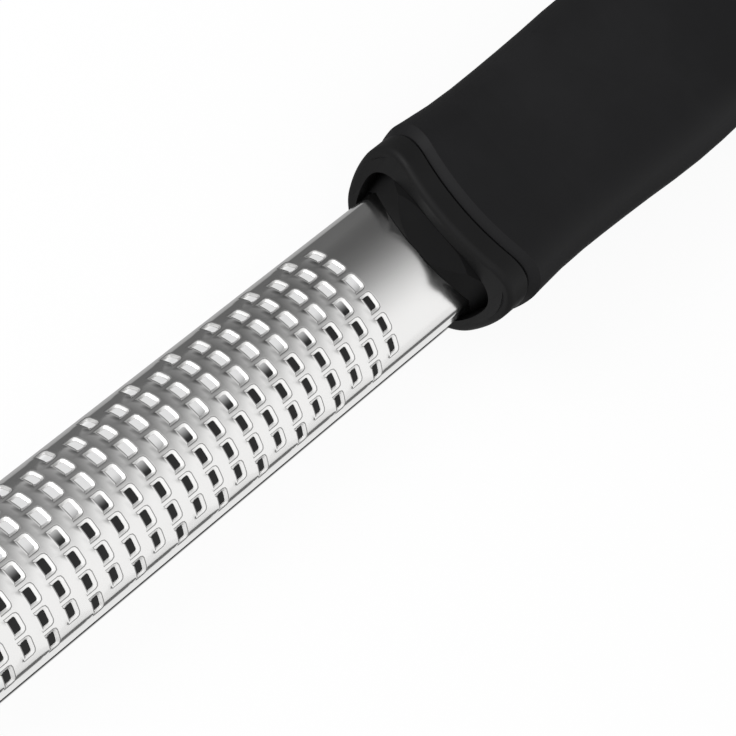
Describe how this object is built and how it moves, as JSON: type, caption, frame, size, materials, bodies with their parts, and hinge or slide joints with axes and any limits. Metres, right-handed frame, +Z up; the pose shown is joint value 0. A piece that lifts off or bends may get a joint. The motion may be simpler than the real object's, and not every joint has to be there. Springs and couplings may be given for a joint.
{
  "type": "rasp zester",
  "caption": "Long crowned steel rasp blade with staggered raised teeth and folded walls, a black collar, a soft swelling grip with a hanging hole and a capped tip on a soft foot.",
  "frame": {"origin": "midway along and across the zester, on the worktop that the tip foot and the grip stand on", "axes": "+X from the tip to the tail of the handle, +Y across the blade, +Z up through the cutting side"},
  "size_m": [0.3064, 0.0364, 0.0245],
  "materials": {
    "steel": "etched and lightly brushed",
    "hard_black": "fine matt",
    "soft_black": "soft matt",
    "foot_black": "soft matt"
  },
  "bodies": {
    "root": {"blade": "steel", "collar": "hard_black", "core_upper": "hard_black", "core_lower": "hard_black", "grip": "soft_black", "end_cap": "hard_black", "tip_cap": "hard_black", "tip_foot": "foot_black"}
  },
  "joints": []
}
